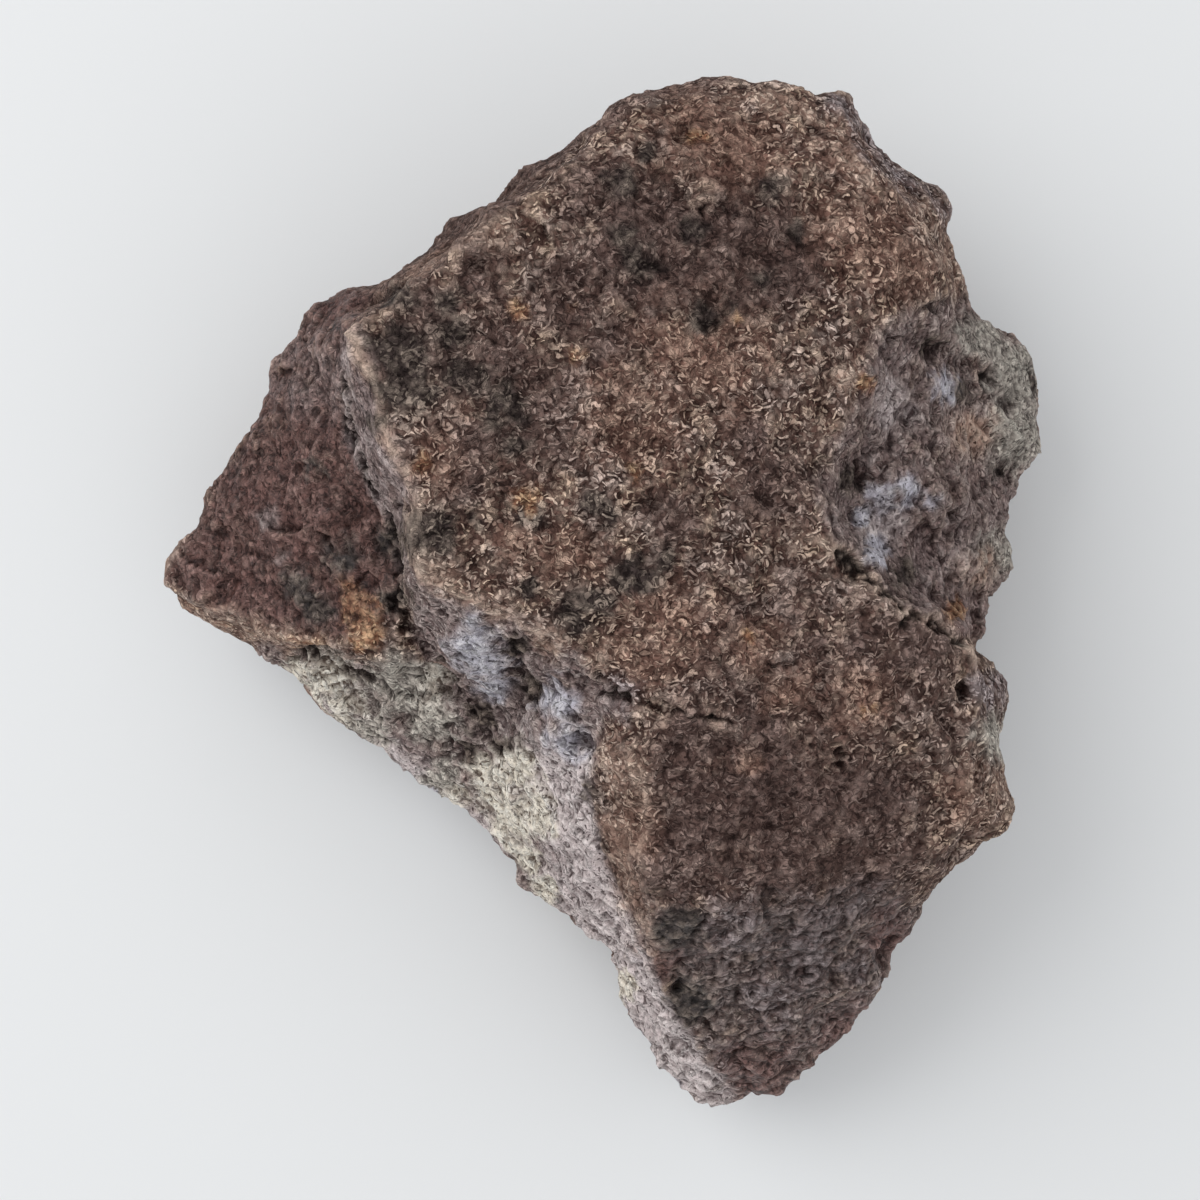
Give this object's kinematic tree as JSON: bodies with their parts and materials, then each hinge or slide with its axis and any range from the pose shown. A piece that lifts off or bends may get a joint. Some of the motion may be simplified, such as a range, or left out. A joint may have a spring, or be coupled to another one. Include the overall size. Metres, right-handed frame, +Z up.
{
  "type": "chondrite meteorite",
  "caption": "Broken, weathered stony meteorite: a hand-sized dark brown stone with a high flat plate, a stepped cliff and shelf on one side and a recess on the other.",
  "frame": {"origin": "middle of the bounding box's base, on the surface that the stone lies on", "axes": "+Z up, the side that the picture looks down on; +Y towards the stone's broad end, along its length; -Y towards its blunt point; -X towards the low shelf"},
  "size_m": [0.06, 0.069, 0.0341],
  "materials": {
    "stone": "rough broken stone, dark brown with tan and rusty grains, maroon, black and blue-grey patches, dull with a fine sparkle"
  },
  "bodies": {
    "root": {"meteorite": "stone"}
  },
  "joints": []
}
